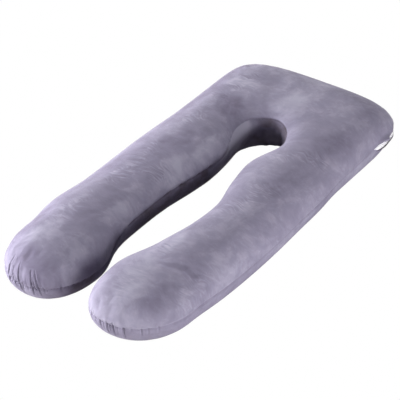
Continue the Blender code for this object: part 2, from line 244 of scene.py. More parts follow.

# Where the pile is darker (below 0) or lighter: on the top, darker and lighter patches, and painted shade
# at some places; a mark with a z is on the bottom panel, there, and paints shade or light onto the walls.
# turn is the mark's heading from +X, and soft the share of its half size over which it fades.
Mark = namedtuple("Mark", "x y turn length width soft shade z high", defaults=(None, 0.05))
MARKS = (
    # the left arm
    Mark(-0.190, -0.785, 10, 0.070, 0.045, 0.9, -0.22),
    Mark(-0.155, -0.762, -10, 0.100, 0.050, 0.9, -0.30),
    Mark(-0.068, -0.684, 85, 0.090, 0.035, 0.8, 0.18),
    Mark(-0.042, -0.682, 82, 0.045, 0.022, 0.9, -0.12),
    # painted shade: this row and the one at (-0.060, -0.450) darken spots on the inner edge, beside the
    # wall in shadow
    Mark(-0.040, -0.640, 80, 0.045, 0.030, 0.8, -0.28),
    Mark(-0.237, -0.638, 85, 0.060, 0.040, 0.9, 0.23),
    # painted shade down the left side's edge, which the lamps from the left light
    Mark(-0.345, -0.600, 95, 0.120, 0.045, 0.9, -0.25),
    Mark(-0.252, -0.513, 95, 0.080, 0.040, 0.9, 0.20),
    Mark(-0.060, -0.450, 90, 0.030, 0.030, 0.8, -0.32),
    Mark(-0.192, -0.390, 85, 0.120, 0.040, 0.9, -0.18),
    Mark(-0.108, -0.380, 90, 0.085, 0.040, 0.8, 0.23),
    Mark(-0.209, -0.247, 85, 0.100, 0.045, 0.7, -0.20),
    # painted shade: these two darken the left side's edge, which the lamps from the left light
    Mark(-0.330, -0.150, 90, 0.700, 0.060, 0.9, -0.22),
    Mark(-0.285, -0.127, 85, 0.100, 0.040, 0.9, -0.25),
    Mark(-0.115, -0.087, 90, 0.080, 0.045, 0.8, 0.24),
    Mark(-0.092, -0.040, 88, 0.090, 0.030, 0.9, 0.22),
    Mark(-0.192, 0.020, 80, 0.110, 0.050, 0.7, -0.28),
    Mark(-0.110, 0.102, 90, 0.060, 0.035, 0.9, 0.20),
    Mark(-0.075, 0.105, 90, 0.080, 0.032, 1.0, 0.32),
    Mark(-0.171, 0.164, 80, 0.070, 0.040, 0.9, -0.20),
    Mark(-0.112, 0.270, 78, 0.110, 0.022, 0.9, -0.16),
    Mark(-0.178, 0.388, -55, 0.080, 0.055, 0.6, -0.42),
    # the head
    Mark(-0.193, 0.478, 60, 0.050, 0.035, 0.9, 0.20),
    Mark(-0.315, 0.490, 88, 0.220, 0.036, 0.9, -0.32),
    Mark(0.010, 0.521, 60, 0.080, 0.050, 0.9, 0.30),
    Mark(-0.227, 0.546, 20, 0.060, 0.040, 0.8, 0.30),
    Mark(0.034, 0.650, 70, 0.110, 0.060, 0.9, 0.18),
    Mark(0.180, 0.700, -10, 0.130, 0.050, 0.9, -0.22),
    # the right arm
    Mark(0.204, -0.790, 20, 0.055, 0.040, 1.4, 0.12),
    Mark(0.212, -0.705, 60, 0.060, 0.036, 1.0, 0.28),
    Mark(0.278, -0.680, 70, 0.085, 0.042, 0.7, -0.25),
    Mark(0.161, -0.661, 90, 0.080, 0.050, 1.2, 0.36),
    Mark(0.316, -0.650, 75, 0.060, 0.030, 0.9, 0.22),
    # painted shade along a crease in the cover
    Mark(0.258, -0.535, 16, 0.080, 0.012, 0.6, -0.35),
    Mark(0.141, -0.468, 85, 0.100, 0.035, 0.7, 0.28),
    Mark(0.185, -0.416, 85, 0.090, 0.040, 0.8, 0.23),
    Mark(0.346, -0.413, 90, 0.100, 0.040, 0.8, 0.12),
    Mark(0.251, -0.089, 85, 0.080, 0.040, 0.8, 0.13),
    Mark(0.285, 0.060, 80, 0.100, 0.050, 0.8, -0.15),
    Mark(0.192, 0.130, 85, 0.120, 0.050, 0.8, 0.14),
    Mark(0.292, 0.382, 40, 0.080, 0.060, 0.8, -0.26),
    # the walls below the seam: painted shade and painted light. These darken where the walls lie in
    # shadow (the left arm's inner wall, the neck's far wall and its rim) and lighten the neck's left
    # wall, the hollow's bottom and the outer sides
    Mark(-0.046, -0.688, 75, 0.072, 0.055, 0.9, -0.60, 0.060, 0.05),
    Mark(-0.070, -0.410, 88, 0.090, 0.050, 1.0, 0.40, 0.080, 0.05),
    Mark(-0.072, -0.220, 88, 0.400, 0.120, 0.4, -0.48, 0.090, 0.12),
    Mark(0.388, -0.060, 90, 0.150, 0.060, 1.0, 0.20, 0.090, 0.06),
    Mark(-0.045, 0.135, 85, 0.060, 0.040, 1.0, 0.40, 0.105, 0.05),
    Mark(-0.076, 0.265, 78, 0.150, 0.055, 1.4, 1.10, 0.135, 0.045),
    Mark(0.373, 0.345, 90, 0.100, 0.060, 1.0, 0.25, 0.075, 0.06),
    Mark(-0.042, 0.410, 40, 0.042, 0.030, 0.9, -0.38, 0.148, 0.030),
    Mark(0.030, 0.410, 0, 0.110, 0.100, 0.5, -0.60, 0.105, 0.12),
    Mark(0.015, 0.430, 0, 0.070, 0.050, 0.9, 0.70, 0.075, 0.040),
    Mark(0.372, 0.520, 90, 0.090, 0.050, 1.0, 0.40, 0.070, 0.050),
)
MARK_RAGGED = 0.016  # how far a mark's edge wanders
MARK_RAGGED_SIZE = 0.035
MARK_SEED = 5  # noise vectors start from the clock unless they are given a seed
UNDER_PAINTED_SHADE = -0.18  # painted shade: the bottom panel below the seam, which faces down, is made darker
UNDER_EDGE = 0.0025
CREASE_PAINTED_SHADE = -0.35  # painted shade darkens the seam's crease
# Where a hand has left short strokes side by side in the pile.
Swept = namedtuple("Swept", "x y turn length width share")
SWEPT = (
    # the left arm, from the head to its tip
    Swept(-0.219, 0.560, 60, 0.090, 0.060, 1.0),
    Swept(-0.235, 0.440, 80, 0.080, 0.050, 0.7),
    Swept(-0.240, 0.235, 80, 0.120, 0.050, 0.7),
    Swept(-0.245, -0.054, 80, 0.080, 0.040, 0.8),
    Swept(-0.231, -0.199, 85, 0.120, 0.050, 0.9),
    Swept(-0.245, -0.500, 85, 0.120, 0.045, 0.6),
    Swept(-0.141, -0.130, 60, 0.070, 0.045, 0.8),
    # the right arm
    Swept(0.196, 0.196, 40, 0.070, 0.045, 0.6),
    Swept(0.270, 0.250, 30, 0.070, 0.045, 0.9),
    Swept(0.215, -0.139, 70, 0.070, 0.045, 0.8),
    Swept(0.245, -0.020, 60, 0.070, 0.045, 0.9),
    Swept(0.150, -0.478, 80, 0.050, 0.035, 0.9),
    Swept(0.160, -0.690, 90, 0.080, 0.040, 0.5),
    Swept(0.330, -0.560, 90, 0.120, 0.040, 0.6),
)
SWEPT_REACH = 1.4  # in the place's half sizes, where its strokes end
GUARD_PAINTED_SHADE = -0.9  # painted shade: the binding is darkened to read as the bound edge lying in shade

TAPE_WHITE = (0.95, 0.94, 0.96)
TAPE_PAINTED_GLOW = 0.22  # painted light: the tape glows so that it reads white where the pillow shades it
TAPE_RIBS = 420.0  # a metre
THREAD_WHITE = (0.86, 0.84, 0.90)
THREAD_RIBS = 900.0
RIB_SHARE = 0.5
RIB_UNEVEN = 1.5
RIB_HEIGHT = 0.0001
WORN_PER_METRE = 90.0
WORN_COLOUR = 0.96  # share of the colour that is left where the weave is worn
WOVEN_SPECULAR = 0.3

LIGHT_DISTANCE = 3.5
LIGHT_SIZE = 1.6
Softbox = namedtuple("Softbox", "name azimuth elevation watts")
SOFTBOXES = (
    Softbox("left_low", -60, 8, 269),
    Softbox("front_left", -30, 8, 120),
    Softbox("left_high", -90, 25, 59),
    Softbox("back_low", -150, 8, 74),
    Softbox("back_high", -150, 25, 42),
    Softbox("overhead", 0, 88, 34),
    Softbox("right_front", 60, 8, 82),
    Softbox("right_side", 90, 8, 95),
)
WORLD_SEEN = 1.0
WORLD_LIGHT = 0.0
FLOOR_BOUNCE = (0.82, 0.78, 0.75)
FLOOR_SIZE = 60.0
FLOOR_DROP = 0.0005  # under the pillow


def deselect_all():
    for obj in bpy.context.view_layer.objects:
        obj.select_set(False)


def activate(obj):
    deselect_all()
    obj.select_set(True)
    bpy.context.view_layer.objects.active = obj


def apply_modifier(obj, kind, **settings):
    """Adds one modifier with these settings and applies it."""
    made = obj.modifiers.new(kind.lower(), kind)
    for name, value in settings.items():
        setattr(made, name, value)
    activate(obj)
    bpy.ops.object.modifier_apply(modifier=made.name)


def coordinates(mesh):
    flat = np.empty(len(mesh.vertices) * 3)
    mesh.vertices.foreach_get("co", flat)
    return flat.reshape(-1, 3)


def set_coordinates(mesh, points):
    mesh.vertices.foreach_set("co", np.asarray(points, np.float32).ravel())
    mesh.update()


def link(obj):
    scene.collection.objects.link(obj)
    return obj


# ---------------------------------------------------------------- the seam
Seam = namedtuple("Seam", "points outward along length tree")


def groove_chain(bm):
    """The seam's edges: the bottom of its groove is the pillow's only level fold inwards."""
    groove = []
    for edge in bm.edges:
        run = edge.verts[1].co - edge.verts[0].co
        level = abs(run.z) < LEVEL_SLOPE * run.length
        if level and edge.verts[0].co.z > LOWEST_SEAM and edge.calc_face_angle_signed(0) < -FOLD:
            groove.append(edge)
    return groove


def seam_of(groove):
    """The seam as close points in order, from the head's middle round the right corner."""
    beside = {}
    for edge in groove:
        for vert in edge.verts:
            beside.setdefault(vert, []).append(edge.other_vert(vert))
    start = min((v for v in beside if v.co.y > HEAD_Y), key=lambda v: abs(v.co.x))
    chain = [start, max(beside[start], key=lambda v: v.co.x)]
    while len(chain) < len(beside):
        chain.append(next(v for v in beside[chain[-1]] if v is not chain[-2]))
    corners = np.array([v.co for v in chain])
    closed = np.vstack([corners, corners[:1]])
    far = np.concatenate([[0], np.cumsum(np.linalg.norm(np.diff(closed, axis=0), axis=1))])
    count = round(far[-1] / SEAM_SPACING)
    along = np.arange(count) * far[-1] / count
    points = np.stack([np.interp(along, far, closed[:, i]) for i in range(3)], axis=1)
    for _ in range(SEAM_SMOOTHING):
        points = (np.roll(points, 1, axis=0) + 2 * points + np.roll(points, -1, axis=0)) / 4
    run = np.roll(points, -SEAM_RUN, axis=0) - np.roll(points, SEAM_RUN, axis=0)
    outward = np.stack([-run[:, 1], run[:, 0], np.zeros(count)], axis=1)
    outward /= np.linalg.norm(outward, axis=1)[:, None]
    tree = KDTree(count)
    for i, point in enumerate(points):
        tree.insert(point, i)
    tree.balance()
    return Seam(points, outward, along, far[-1], tree)


Beside = namedtuple("Beside", "nearest along distance rise")


def beside_seam(seam, points):
    """For each point: the nearest seam point's number, the place along the seam, how far and high."""
    found = [seam.tree.find(point)[1:] for point in points]
    nearest = np.array([number for number, _ in found])
    distance = np.array([away for _, away in found])
    offset, outward = points - seam.points[nearest], seam.outward[nearest]
    past = offset[:, 0] * outward[:, 1] - offset[:, 1] * outward[:, 0]
    return Beside(nearest, seam.along[nearest] + past, distance, offset[:, 2])


# ---------------------------------------------------------------- the filled pillow
def round_facets(obj):
    """Rounds the facets off, with the corners first moved out by what the rounding takes away."""
    corners = coordinates(obj.data)
    trial = link(bpy.data.objects.new("trial", obj.data.copy()))
    apply_modifier(trial, "SUBSURF", levels=ROUNDING_LEVELS, render_levels=ROUNDING_LEVELS)
    drawn_in = coordinates(trial.data)[: len(corners)] - corners
    bpy.data.objects.remove(trial)
    set_coordinates(obj.data, corners - drawn_in)
    apply_modifier(obj, "SUBSURF", levels=ROUNDING_LEVELS, render_levels=ROUNDING_LEVELS)


def rounded_copy(node, name):
    """The node's mesh with its corners merged and its facets rounded, and the seam found on it."""
    bm = bmesh.new()
    bm.from_mesh(frame["nodes"][node].data)
    bmesh.ops.remove_doubles(bm, verts=bm.verts, dist=SAME_POINT)
    crease = bm.edges.layers.float.new("crease_edge")
    groove = groove_chain(bm)
    seam = seam_of(groove)
    for edge in groove:
        edge[crease] = 1.0
    bmesh.ops.join_triangles(
        bm,
        faces=bm.faces,
        angle_face_threshold=PAIR_BEND,
        angle_shape_threshold=PAIR_SHAPE,
        cmp_seam=False,
    )
    mesh = bpy.data.meshes.new(name)
    bm.to_mesh(mesh)
    bm.free()
    obj = link(bpy.data.objects.new(name, mesh))
    round_facets(obj)
    apply_modifier(obj, "REMESH", mode="VOXEL", voxel_size=VOXEL, adaptivity=0.0)
    apply_modifier(obj, "SMOOTH", factor=0.5, iterations=FACET_SMOOTHING)
    return obj, seam


def inflate(obj, seam):
    """Swells the cover between its seam and the floor with a cloth simulation, and caps how far."""
    before = coordinates(obj.data)
    side = beside_seam(seam, before)
    held = obj.vertex_groups.new(name="held")
    for i in np.flatnonzero(side.distance < 2 * SEAM_PIN):
        held.add([int(i)], float(np.clip(2 - side.distance[i] / SEAM_PIN, 0, 1)), "REPLACE")
    for i in np.flatnonzero(before[:, 2] < FLOOR_TOUCH):
        held.add([int(i)], 1.0, "REPLACE")
    cloth = obj.modifiers.new("cloth", "CLOTH")
    cloth.settings.use_pressure = True
    cloth.settings.uniform_pressure_force = CLOTH_PRESSURE
    cloth.settings.effector_weights.gravity = 0.0
    cloth.settings.vertex_group_mass = held.name
    cloth.collision_settings.use_collision = False
    cloth.collision_settings.use_self_collision = False
    cloth.point_cache.frame_start = 1
    cloth.point_cache.frame_end = CLOTH_FRAMES
    for step in range(1, CLOTH_FRAMES + 1):
        scene.frame_set(step)
    activate(obj)
    bpy.ops.object.modifier_apply(modifier=cloth.name)
    scene.frame_set(1)
    obj.vertex_groups.clear()
    after = coordinates(obj.data)
    moved = after - before
    length = np.linalg.norm(moved, axis=1)
    capped = CLOTH_CAP * np.tanh(length / CLOTH_CAP) / np.maximum(length, 1e-9)
    points = before + moved * capped[:, None]
    points[:, 2] = np.maximum(points[:, 2], 0.0)
    set_coordinates(obj.data, points)


def made_finer(obj, chosen):
    """Cuts the faces whose corners are all chosen into four."""
    bm = bmesh.new()
    bm.from_mesh(obj.data)
    bm.verts.ensure_lookup_table()
    edges = [e for e in bm.edges if chosen[e.verts[0].index] and chosen[e.verts[1].index]]
    bmesh.ops.subdivide_edges(bm, edges=edges, cuts=1, use_grid_fill=True)
    bm.to_mesh(obj.data)
    bm.free()


def wrapped(difference, length):
    """A difference along the seam, the short way round."""
    return (difference + length / 2) % length - length / 2


def bell(away, width):
    """A soft rise and fall over a place, 1 in its middle."""
    return np.exp(-((away / width) ** 2))


def fold_profile(across):
    """A groove with a soft ridge to each side, across a fold in its own half widths."""
    ridges = bell(across - RIDGE_PLACE, 1) + bell(across + RIDGE_PLACE, 1)
    return bell(across, 1) - RIDGE_SHARE * ridges


def overhang(seam, side):
    """How far the top panel's edge stands out over the zip's tape, and the bottom panel back."""
    height, reach = LIP_OVERHANG
    rows = [lip.along for lip in LIPS]
    out = np.interp(side.along, rows, [lip.out for lip in LIPS])
    tuck = np.interp(side.along, rows, [lip.tuck for lip in LIPS])
    deep, span = TUCK_PLACE
    over = out * bell(side.distance - height, reach)
    under = tuck * bell(side.distance - deep, span)
    return np.where(side.rise > 0, over, -under)


def shown_crease(seam, along):
    """The share of the crease that shows: the filling all but smooths it away in one place."""
    return 1 - CALM_SHARE * bell(wrapped(along - CALM_PLACE, seam.length), CALM_REACH)


def seam_relief(seam, side):
    """How far the crease, its puckers and the gathers draw each point in."""
    along, near = side.along, side.distance
    away = near * np.where(side.rise < 0, -1.0, 1.0)
    wave = np.array([noise.noise((a / PUCKER_LENGTH, PUCKER_ROW, 0.0)) for a in along])
    drift = np.array([noise.noise((a / DRIFT_LENGTH, DRIFT_ROW, 0.0)) for a in along])
    crease = CREASE_DEPTH * (1 + CREASE_UNEVEN * drift) * bell(near, CREASE_WIDTH)
    lips = LIP_HEIGHT * (1 + LIP_UNEVEN * wave) * bell(near - LIP_PLACE, LIP_WIDTH)
    puckers = PUCKER_DEPTH * wave * (1 + drift) * bell(near, PUCKER_REACH)
    total = (crease - lips + puckers) * shown_crease(seam, along)
    for gather in GATHERS:
        reach = np.where(away >= 0, gather.up, gather.down)
        taper = np.clip(1 - near / reach, 0, 1) ** GATHER_TAPER
        across = wrapped(along - gather.along - gather.slant * away, seam.length) / gather.width
        total += gather.depth * taper * fold_profile(across)
    return total


def sew(obj, seam):
    """Makes the mesh fine beside the seam and finer at the gathers, and draws the seam in."""
    for band in (SEAM_BAND, 0):
        side = beside_seam(seam, coordinates(obj.data))
        wanted = np.full(len(side.along), float(band))
        for gather in GATHERS:
            reach = np.where(side.rise >= 0, gather.up, gather.down)
            leaning = gather.along + gather.slant * np.where(side.rise >= 0, side.distance, 0)
            close = np.abs(wrapped(side.along - leaning, seam.length)) < GATHER_MARGIN
            wanted = np.maximum(wanted, np.where(close, reach, 0))
        made_finer(obj, side.distance < wanted)
    points = coordinates(obj.data)
    normals = np.empty(len(points) * 3)
    obj.data.vertices.foreach_get("normal", normals)
    normals = normals.reshape(-1, 3)
    side = beside_seam(seam, points)
    points -= normals * seam_relief(seam, side)[:, None]
    points += seam.outward[side.nearest] * overhang(seam, side)[:, None]
    points[:, 2] = np.maximum(points[:, 2], 0.0)
    set_coordinates(obj.data, points)
    apply_modifier(obj, "SMOOTH", factor=SEWN_SMOOTHING, iterations=1)


# ---------------------------------------------------------------- the gaping zip
def blended(rows, places, values):
    """The columns of values, read between their rows at these places."""
    return np.stack([np.interp(places, rows, column) for column in values.T], axis=1)


def path_of(node, seam, places):
    """The middle line of a solid that runs along the seam, at these places along it."""
    points = coordinates(frame["nodes"][node].data)
    along = beside_seam(seam, points).along
    weights = bell(places[:, None] - along, PATH_BLEND)
    return weights @ points / weights.sum(axis=1)[:, None]


def zip_lines(seam):
    """Places along the zip: the tape's inner and outer edge, the guard's middle and the way out."""
    points = coordinates(frame["nodes"]["zip_guard"].data)
    along = beside_seam(seam, points).along
    places = np.linspace(along.min() + ZIP_END, along.max() - ZIP_END, ZIP_PLACES)
    outward = blended(seam.along, places, seam.outward)
    lip = blended(seam.along, places, seam.points) - outward * TAPE_UNDER_LIP
    lip[:, 2] += TAPE_LIP_RISE
    guard = path_of("zip_guard", seam, places)
    bow = np.interp(places, [row.along for row in GUARD_BOWS], [row.out for row in GUARD_BOWS])
    guard += outward * bow[:, None]
    from_end = np.minimum(np.arange(ZIP_PLACES), np.arange(ZIP_PLACES)[::-1]) / (ZIP_PLACES - 1)
    shown = np.sqrt(np.clip(from_end / TAPE_ENDS, TAPE_LEAST, 1))[:, None]
    return lip, lip + (guard - outward * TAPE_TO_GUARD - lip) * shown, guard, outward


def laid_along(obj, line, across):
    """Lays a piece made along X from 0 to 1 onto a line: its Y goes across it, and its Z up."""
    made = coordinates(obj.data)
    rows = np.linspace(0, 1, len(line))
    points = blended(rows, made[:, 0], line) + blended(rows, made[:, 0], across) * made[:, 1:2]
    points[:, 2] += made[:, 2]
    set_coordinates(obj.data, points)


def finished(obj, name, stands_for, look):
    obj.name = name
    activate(obj)
    bpy.ops.object.transform_apply(location=True, rotation=True, scale=True)
    obj.data.shade_smooth()
    obj.data.materials.clear()
    obj.data.materials.append(look)
    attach(obj, "root")
    if stands_for:
        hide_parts(stands_for)


def new_tape(lip, outer):
    """The woven tape: a strip from under the top panel's edge to the guard, sagging a little."""
    deselect_all()
    bpy.ops.mesh.primitive_grid_add(
        x_subdivisions=TAPE_CELLS_ALONG, y_subdivisions=TAPE_CELLS_ACROSS, size=1, location=(0.5, 0, 0)
    )
    tape = bpy.context.active_object
    bpy.ops.object.transform_apply(location=True)
    points = coordinates(tape.data)
    points[:, 2] = -TAPE_SAG * np.cos(math.pi * points[:, 1])
    set_coordinates(tape.data, points)
    laid_along(tape, (lip + outer) / 2, outer - lip)
    apply_modifier(tape, "SOLIDIFY", thickness=TAPE_CLOTH, offset=0.0)
    return tape


def new_guard(guard, outward):
    """The bound edge: a round cord in its binding, narrowed where it runs into the seam."""
    deselect_all()
    bpy.ops.mesh.primitive_cylinder_add(
        vertices=GUARD_SIDES,
        radius=GUARD_RADIUS,
        depth=1,
        location=(0.5, 0, 0),
        rotation=(0, math.pi / 2, 0),
    )
    cord = bpy.context.active_object
    bpy.ops.object.transform_apply(location=True, rotation=True)
    bpy.ops.object.mode_set(mode="EDIT")
    bm = bmesh.from_edit_mesh(cord.data)
    for edge in bm.edges:
        edge.select_set(edge.calc_length() > 0.5)
    bmesh.update_edit_mesh(cord.data)
    bpy.ops.mesh.subdivide(number_cuts=GUARD_CUTS)
    bpy.ops.object.mode_set(mode="OBJECT")
    points = coordinates(cord.data)
    first, last = points[:, 0] / GUARD_TAPERS[0], (1 - points[:, 0]) / GUARD_TAPERS[1]
    points[:, 1:] *= np.clip(np.minimum(first, last), GUARD_LEAST, 1)[:, None]
    set_coordinates(cord.data, points)
    laid_along(cord, guard, outward)
    return cord


def row_of(model, line, pitch):
    """Copies of one small piece at even steps along a line, each turned to it, joined as one."""
    steps = np.linalg.norm(np.diff(line, axis=0), axis=1)
    far = np.concatenate([[0], np.cumsum(steps)])
    places = np.arange(pitch, far[-1] - pitch / 2, pitch)
    middles = blended(far, places, line)
    ahead = blended(far, places + pitch / 2, line)
    shape = coordinates(model.data)
    copies = []
    for middle, further in zip(middles, ahead):
        run = Vector(further - middle).normalized()
        side = Vector((0, 0, 1)).cross(run).normalized()
        turned = np.array([run, side, run.cross(side)])
        copy = link(bpy.data.objects.new("copy", model.data.copy()))
        set_coordinates(copy.data, shape @ turned + middle)
        copies.append(copy)
    bpy.data.objects.remove(model)
    activate(copies[0])
    for copy in copies:
        copy.select_set(True)
    bpy.ops.object.join()
    return copies[0]


def new_coil(outer):
    """The nylon coil along the tape's outer edge."""
    deselect_all()
    bpy.ops.mesh.primitive_torus_add(
        major_segments=COIL_SIDES[0],
        minor_segments=COIL_SIDES[1],
        major_radius=COIL_RADIUS,
        minor_radius=COIL_WIRE,
        rotation=(0, math.pi / 2, math.radians(COIL_LEAN)),
    )
    ring = bpy.context.active_object
    bpy.ops.object.transform_apply(rotation=True)
    return row_of(ring, outer, COIL_PITCH)


def new_stitches(line):
    """A row of stitches, each a short rounded thread."""
    deselect_all()
    bpy.ops.mesh.primitive_uv_sphere_add(segments=STITCH_SIDES[0], ring_count=STITCH_SIDES[1], radius=1)
    thread = bpy.context.active_object
    size = np.array([STITCH_LENGTH / 2, STITCH_THICKNESS, STITCH_THICKNESS])
    set_coordinates(thread.data, coordinates(thread.data) * size)
    return row_of(thread, line, STITCH_PITCH)


# ---------------------------------------------------------------- finishes
def new_material(name):
    made = bpy.data.materials.new(name)
    made.use_nodes = True
    return made, made.node_tree, made.node_tree.nodes["Principled BSDF"]


def new_group(name, outputs):
    """A node group with a Vector input and these outputs, given as names with their socket kinds."""
    tree = bpy.data.node_groups.new(name, "ShaderNodeTree")
    tree.interface.new_socket("Vector", in_out="INPUT", socket_type="NodeSocketVector")
    for output, kind in outputs:
        tree.interface.new_socket(output, in_out="OUTPUT", socket_type=kind)
    return tree, tree.nodes.new("NodeGroupInput"), tree.nodes.new("NodeGroupOutput")


def add_node(tree, kind, **settings):
    node = tree.nodes.new("ShaderNode" + kind)
    for name, value in settings.items():
        setattr(node, name, value)
    return node


def value_of(tree, operation, *inputs):
    """A Math node on these values or sockets, and its result."""
    node = add_node(tree, "Math", operation=operation)
    for i, given in enumerate(inputs):
        if isinstance(given, (int, float)):
            node.inputs[i].default_value = given
        else:
            tree.links.new(given, node.inputs[i])
    return node.outputs[0]


def moved_by(tree, vector, push, amount):
    """A vector pushed along by a colour noise that is centred first."""
    centred = add_node(tree, "VectorMath", operation="SUBTRACT")
    centred.inputs[1].default_value = (0.5, 0.5, 0.5)
    tree.links.new(push, centred.inputs[0])
    scaled = add_node(tree, "VectorMath", operation="SCALE")
    scaled.inputs["Scale"].default_value = amount
    tree.links.new(centred.outputs[0], scaled.inputs[0])
    total = add_node(tree, "VectorMath", operation="ADD")
    tree.links.new(vector, total.inputs[0])
    tree.links.new(scaled.outputs[0], total.inputs[1])
    return total.outputs[0]


def noise_of(tree, vector, scale, detail=2.0, roughness=0.5, output="Fac"):
    node = add_node(tree, "TexNoise")
    node.inputs["Scale"].default_value = scale
    node.inputs["Detail"].default_value = detail
    node.inputs["Roughness"].default_value = roughness
    tree.links.new(vector, node.inputs["Vector"])
    return node.outputs[output]


def stretched(tree, vector, turn_degrees, size):
    """The vector in units of size, so that a noise of scale 1 has features of that size, turned."""
    node = add_node(tree, "Mapping", vector_type="TEXTURE")
    node.inputs["Rotation"].default_value = (0, 0, math.radians(turn_degrees))
    node.inputs["Scale"].default_value = size
    tree.links.new(vector, node.inputs["Vector"])
    return node.outputs[0]


def spread(tree, value, low, high, eased=True):
    """The value as a share of the way from low to high, kept between 0 and 1."""
    node = add_node(tree, "MapRange", clamp=True)
    if eased:
        node.interpolation_type = "SMOOTHSTEP"
    node.inputs["From Min"].default_value = low
    node.inputs["From Max"].default_value = high
    tree.links.new(value, node.inputs["Value"])
    return node.outputs["Result"]


def strokes_of(tree, start):
    """Short curved strokes about 0, that lie one way or the other from place to place."""
    curl = noise_of(tree, start, 1 / CURL_SIZE, detail=1.0, output="Color")
    curved = moved_by(tree, start, curl, CURL_REACH)
    chosen = add_node(tree, "Mix", data_type="FLOAT")
    which = noise_of(tree, start, 1 / TURN_SIZE, detail=1.0)
    tree.links.new(spread(tree, which, *TURN_RANGE), chosen.inputs["Factor"])
    for turn, side in zip(STROKE_TURNS, "AB"):
        lines = noise_of(tree, stretched(tree, curved, turn, STROKE_SIZE), 1.0)
        tree.links.new(value_of(tree, "SUBTRACT", lines, 0.5), chosen.inputs[side])
    return chosen.outputs["Result"]


def brushed_pile_group():
    """Velvet pile: ragged patches where it lies one way or the other, curved strokes, and flecks."""
    outputs = [(name, "NodeSocketFloat") for name in ("Patches", "Mottle", "Strokes", "Flecks", "Grain")]
    tree, given, result = new_group("brushed_pile", outputs)
    start = given.outputs["Vector"]
    drift = noise_of(tree, start, 1 / DRIFT_SIZE, output="Color")
    warped = moved_by(tree, start, drift, DRIFT_REACH)
    patches = noise_of(tree, warped, 1 / PATCH_SIZE, detail=5.0, roughness=0.62)
    mottle = noise_of(tree, warped, 1 / MOTTLE_SIZE, detail=3.0, roughness=0.6)
    flecks = noise_of(tree, warped, 1 / FLECK_SIZE, roughness=0.6)
    where = spread(tree, mottle, *FLECK_MOTTLE)
    flecks = value_of(tree, "MULTIPLY", spread(tree, flecks, *FLECK_RANGE), where)
    found = {
        "Patches": spread(tree, patches, *PATCH_RANGE),
        "Mottle": spread(tree, mottle, *MOTTLE_RANGE),
        "Strokes": strokes_of(tree, start),
        "Flecks": flecks,
        "Grain": noise_of(tree, start, GRAIN_PER_METRE, detail=1.0),
    }
    for name, value in found.items():
        tree.links.new(value, result.inputs[name])
    return tree


def use_group(tree, group, vector):
    node = add_node(tree, "Group", node_tree=group)
    tree.links.new(vector, node.inputs["Vector"])
    return node


def bump_of(tree, height, distance, strength=1.0):
    node = add_node(tree, "Bump")
    node.inputs["Distance"].default_value = distance
    node.inputs["Strength"].default_value = strength
    tree.links.new(height, node.inputs["Height"])
    return node.outputs["Normal"]


def ramp_of(tree, value, colours):
    """A ramp through these colours, evenly spaced, for a value from 0 to 1."""
    node = add_node(tree, "ValToRGB")
    for i in range(1, len(colours) - 1):
        node.color_ramp.elements.new(i / (len(colours) - 1))
    for element, colour in zip(node.color_ramp.elements, colours):
        element.color = (*colour, 1)
    tree.links.new(value, node.inputs["Fac"])
    return node.outputs["Color"]


def pile_lie(tree, look, brushed_and_painted_light, shade):
    """How the pile lies, from -1 brushed dark to 1 brushed light, with painted shade and light added, and
    the strokes in it.
    """
    middle = 0.5 - PATCH_SHARE / 2 - MOTTLE_SHARE / 2 + shade
    lie = value_of(tree, "MULTIPLY_ADD", look.outputs["Patches"], PATCH_SHARE, middle)
    lie = value_of(tree, "MULTIPLY_ADD", look.outputs["Mottle"], MOTTLE_SHARE, lie)
    strokes = value_of(tree, "MULTIPLY", look.outputs["Strokes"], STROKE_SHARE)
    flecks = value_of(tree, "MULTIPLY", look.outputs["Flecks"], FLECK_SHARE)
    if brushed_and_painted_light:
        # this attribute carries painted shade and light as well as the pile's patches
        marks = add_node(tree, "Attribute", attribute_name="brushed_and_painted_light").outputs["Fac"]
        swept = add_node(tree, "Attribute", attribute_name="swept").outputs["Fac"]
        lie = value_of(tree, "ADD", lie, marks)
        strokes = value_of(tree, "MULTIPLY", strokes, value_of(tree, "MAXIMUM", swept, STROKES_ELSEWHERE))
        flecks = value_of(tree, "MULTIPLY", flecks, value_of(tree, "MAXIMUM", swept, FLECKS_ELSEWHERE))
    return value_of(tree, "ADD", value_of(tree, "ADD", lie, strokes), flecks), strokes


def velvet_material(name, pile, brushed_and_painted_light=True, shade=0.0):
    """Velvet: a matt pile that is darker or lighter as it is brushed and where shade and light are
    painted into it, and glows at a low angle.
    """
    made, tree, shader = new_material(name)
    look = use_group(tree, pile, add_node(tree, "TexCoord").outputs["Object"])
    lie, strokes = pile_lie(tree, look, brushed_and_painted_light, shade)
    colour = ramp_of(tree, spread(tree, lie, -1.0, 1.0, eased=False), VELVET_COLOURS)
    tree.links.new(colour, shader.inputs["Base Color"])
    dark = spread(tree, lie, 1.0, 0.0, eased=False)
    rough = value_of(tree, "MULTIPLY_ADD", dark, VELVET_ROUGHER, VELVET_ROUGHNESS)
    tree.links.new(rough, shader.inputs["Roughness"])
    fuzz = value_of(tree, "ADD", look.outputs["Grain"], strokes)
    tree.links.new(bump_of(tree, fuzz, PILE_HEIGHT), shader.inputs["Normal"])
    shader.inputs["Specular IOR Level"].default_value = VELVET_SPECULAR
    shader.inputs["Sheen Weight"].default_value = VELVET_SHEEN
    shader.inputs["Sheen Roughness"].default_value = VELVET_SHEEN_ROUGHNESS
    shader.inputs["Sheen Tint"].default_value = (*VELVET_SHEEN_TINT, 1)
    return made


